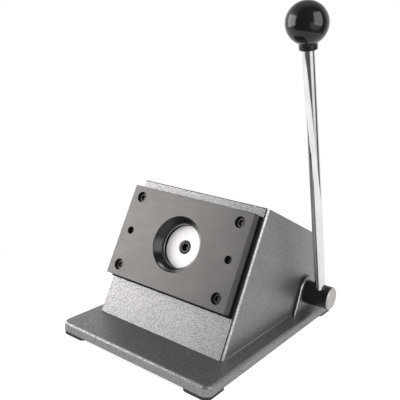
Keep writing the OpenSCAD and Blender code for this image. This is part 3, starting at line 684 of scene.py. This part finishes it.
# Die set
die_plate = rounded(
    "die_plate",
    (
        lambda p: abs(on_slope(p).x) > DIE_HALF_W - NEAR or abs(on_slope(p).y) > DIE_HALF_H - NEAR,
        DIE_EDGE_R, 3,
    ),
    (lambda p: on_slope(p).z > DIE_FRONT - NEAR and on_axis_within(p, FUNNEL_R + 0.5), FUNNEL_RIM_R, 3),
    (lambda p: on_slope(p).z > DIE_FRONT - NEAR and abs(on_slope(p).x) < SCREW_REACH, SCREW_HOLE_R, 3),
    (lambda p: close(on_slope(p).z, DIE_BACK + LAND_LEN) and on_axis_within(p, LAND_R + 0.5), LAND_RIM_R, 2),
)
dress_faces(die_plate, DIE_SIDE, lambda spot, normal: normal.dot(OUTWARD) < 0.5)
dress_faces(
    die_plate, FUNNEL,
    lambda spot, normal: on_axis_within(spot, FUNNEL_R + 1) and normal.dot(OUTWARD) < 0.95,
)
stripper_plate = rounded(
    "stripper_plate",
    (lambda p: abs(on_slope(p).x) > DIE_HALF_W or abs(on_slope(p).y) > DIE_HALF_H - NEAR, FINE_R, 2),
    (lambda p: on_slope(p).z > STRIPPER_TOP - NEAR and on_axis_within(p, LAND_R + 2), STRIPPER_RIM_R, 3),
)
dress_faces(
    stripper_plate, BARE_RIM,
    lambda spot, normal: on_axis_within(spot, LAND_R + 2) and 0.05 < normal.dot(OUTWARD) < 0.95,
)
rounded("die_screws", (lambda p: on_slope(p).z > DIE_FRONT - SCREW_SINK - NEAR, SCREW_HEAD_R, 4))
rounded("dowel_pins", (lambda p: on_slope(p).z > DIE_BACK, DOWEL_R, 3))
rounded("punch", (lambda p: on_slope(p).z > PUNCH_FACE - NEAR, PUNCH_RIM_R, 3))
rounded("punch_screw", (lambda p: on_slope(p).z > PUNCH_FACE - PUNCH_SCREW_REACH, PUNCH_SCREW_R, 4))

# Shaft and lever
shaft = rounded(
    "shaft",
    (lambda p: part_x(p) > STUB_END - NEAR, STUB_CHAMFER, 1),
    (lambda p: part_x(p) < SHAFT_LEFT + NEAR, SHAFT_END_R, 3),
)
dress_faces(shaft, BARE_END, lambda spot, normal: normal.x > 0.2 and part_x(spot) > STUB_END - 2)
rounded("retaining_ring", (lambda p: True, RING_R, 2))
rounded("lever_rod", (lambda p: True, ROD_END_R, 3))

# Ball knob: a hole for its insert, a short neck and a small hollow where the neck meets the ball
hollow_lift = math.sqrt((BALL_R + HOLLOW_R) ** 2 - (NECK_R + HOLLOW_R) ** 2)
hollow = (NECK_R + HOLLOW_R, LEVER_LEN - hollow_lift)
meet = math.degrees(math.atan2(hollow_lift, -hollow[0]))
lathe(
    "ball_knob",
    [(0, ROD_LEN + INSERT_LEN), (INSERT_R, ROD_LEN + INSERT_LEN), (INSERT_R, ROD_LEN)]
    + [(NECK_R - 0.6, ROD_LEN), (NECK_R - 0.2, ROD_LEN + 0.2), (NECK_R, ROD_LEN + 0.6)]
    + arc(hollow, HOLLOW_R, 180, meet, 6)
    + arc((0, LEVER_LEN), BALL_R, meet - 180, 88, 48)[1:]
    + [(0, LEVER_LEN + BALL_R)],
    steps=96,
    frame_matrix=ON_LEVER,
)

# Return spring
spring = settle(bpy.data.objects.new("return_spring_wire", spring_wire()), "return_spring")
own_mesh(spring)

# CAD nodes that stay get their finish
for name, node in NODES.items():
    if not node.hide_render:
        for slot in node.material_slots:
            slot.material = LOOKS[SLOT_OF[name]]

# Camera at the photograph's viewing angle; its place is in millimetres from part.scad's origin
PHOTO_SIDE = 400
FOCAL_PIXELS = 562.748
SENSOR = 36.0
LENS_SHIFT = (-0.03931, -0.05395)
CAMERA_SPOT = Vector((341.723, -406.042, 289.08))
CAMERA_RIGHT = Vector((0.81218776, 0.57947526, 0.06752376))
CAMERA_FORWARD = Vector((-0.55745477, 0.80498746, -0.2030748))
camera_data = bpy.data.cameras.new("camera")
camera_data.sensor_width = SENSOR
camera_data.lens = FOCAL_PIXELS * SENSOR / PHOTO_SIDE
camera_data.shift_x, camera_data.shift_y = LENS_SHIFT
camera = bpy.data.objects.new("camera", camera_data)
camera_turn = Matrix((CAMERA_RIGHT, CAMERA_RIGHT.cross(CAMERA_FORWARD), -CAMERA_FORWARD)).transposed()
camera.matrix_world = Matrix.Translation(part_origin + CAMERA_SPOT * MM) @ camera_turn.to_4x4()
bpy.context.scene.collection.objects.link(camera)
bpy.context.scene.camera = camera


def softbox(name, spot, target, size, power, colour):
    """A soft rectangular lamp that points at a target."""
    data = bpy.data.lights.new(name, "AREA")
    data.shape = "RECTANGLE"
    data.size, data.size_y = size
    data.energy = power
    data.color = colour
    lamp = bpy.data.objects.new(name, data)
    lamp.location = spot
    lamp.rotation_euler = (Vector(target) - Vector(spot)).to_track_quat("-Z", "Y").to_euler()
    lamp.visible_camera = False
    bpy.context.scene.collection.objects.link(lamp)


softbox(
    "key_left", spot=(-0.82, -0.52, 0.41), target=(0, 0, 0.3), size=(1.0, 0.78), power=10.8,
    colour=(1.0, 0.965, 0.95),
)
softbox(
    "side_right", spot=(1.24, -0.1, 0.82), target=(0, 0, 0.6), size=(1.05, 1.4), power=16.0,
    colour=(0.98, 0.985, 1.0),
)

# White surroundings for the camera. Reflections see them white towards the backdrop, behind and to the left,
# and below the right lamp, and dark towards the room in front.
# The object's shaded sides get an even weak light.
BACKDROP_SIDE = Vector((-0.75, 0.65, 0.1)).normalized()
LAMP_SIDE = Vector((0.97, -0.26, 0))
EVEN_LIGHT = 0.85
world = bpy.data.worlds.new("studio")
bpy.context.scene.world = world
world.use_nodes = True
studio = Nodes(world.node_tree)
ray = studio.add("ShaderNodeLightPath").outputs
direction = studio.add("ShaderNodeTexCoord").outputs["Generated"]
rise = studio.add("ShaderNodeSeparateXYZ", {0: direction}).outputs["Z"]
to_backdrop = studio.dot(direction, BACKDROP_SIDE)
backdrop = studio.math(
    "MULTIPLY", studio.span(to_backdrop, -0.1, 0.25, 0.1, 1.0), studio.span(rise, 0.35, 0.75, 1.0, 0.5)
)
to_lamp = studio.dot(direction, LAMP_SIDE)
lamp_pool = studio.math(
    "MULTIPLY", studio.span(to_lamp, 0.75, 0.9, 0.0, 1.0), studio.span(rise, -0.02, 0.0, 1.0, 0.0)
)
straight = studio.math("MAXIMUM", ray["Is Camera Ray"], ray["Is Transmission Ray"])
even_light = studio.math("MULTIPLY", ray["Is Diffuse Ray"], EVEN_LIGHT)
mirrored = studio.math("MULTIPLY", ray["Is Glossy Ray"], studio.math("MAXIMUM", backdrop, lamp_pool))
bright = studio.math("MAXIMUM", straight, studio.math("MAXIMUM", mirrored, even_light))
background = studio.add("ShaderNodeBackground", {"Color": (1, 1, 1, 1), "Strength": bright})
studio.add("ShaderNodeOutputWorld", {"Surface": background.outputs[0]})

# Pale round floor that keeps the shadow; it ends close in front of the object. The camera sees it turn into
# the white surroundings before its rim.
FLOOR_R = 0.6
FLOOR_MIDDLE = Vector((-0.1, 0.2, 0))
FADE_R = 0.216
WHITE_R = 0.36
SEEN_GLOW = 0.82
MIRRORED_GLOW = 0.66
MATT_FLOOR = (0.6, 0.6, 0.6, 1)
SHADED_FLOOR = (0.3, 0.3, 0.3, 1)
floor_look = Look("pale_floor")
distance = floor_look.length(floor_look.place(Matrix.Translation(-FLOOR_MIDDLE)))
floor_ray = floor_look.add("ShaderNodeLightPath").outputs
fade = floor_look.math(
    "MULTIPLY", floor_look.span(distance, FADE_R, WHITE_R, 0.0, 1.0), floor_ray["Is Camera Ray"]
)
seen = floor_look.math("MAXIMUM", floor_ray["Is Camera Ray"], floor_ray["Is Glossy Ray"])
glow_level = floor_look.span(floor_ray["Is Glossy Ray"], 0.0, 1.0, SEEN_GLOW, MIRRORED_GLOW)
matt = floor_look.add("ShaderNodeBsdfDiffuse", {"Color": MATT_FLOOR}).outputs[0]
faint = floor_look.add("ShaderNodeBsdfDiffuse", {"Color": SHADED_FLOOR}).outputs[0]
glow = floor_look.add("ShaderNodeEmission", {"Strength": glow_level}).outputs[0]
lit = floor_look.add("ShaderNodeAddShader", {0: faint, 1: glow}).outputs[0]
far = floor_look.add("ShaderNodeEmission", {"Strength": 1.0}).outputs[0]
near = floor_look.add("ShaderNodeMixShader", {0: fade, 1: lit, 2: far}).outputs[0]
shown = floor_look.add("ShaderNodeMixShader", {0: seen, 1: matt, 2: near}).outputs[0]
floor_look.add("ShaderNodeOutputMaterial", {"Surface": shown})
bpy.ops.mesh.primitive_circle_add(vertices=96, radius=FLOOR_R, fill_type="NGON", location=FLOOR_MIDDLE)
floor = bpy.context.object
floor.name = "floor"
floor.data.materials.append(floor_look.material)

bpy.context.scene.view_settings.view_transform = "Standard"
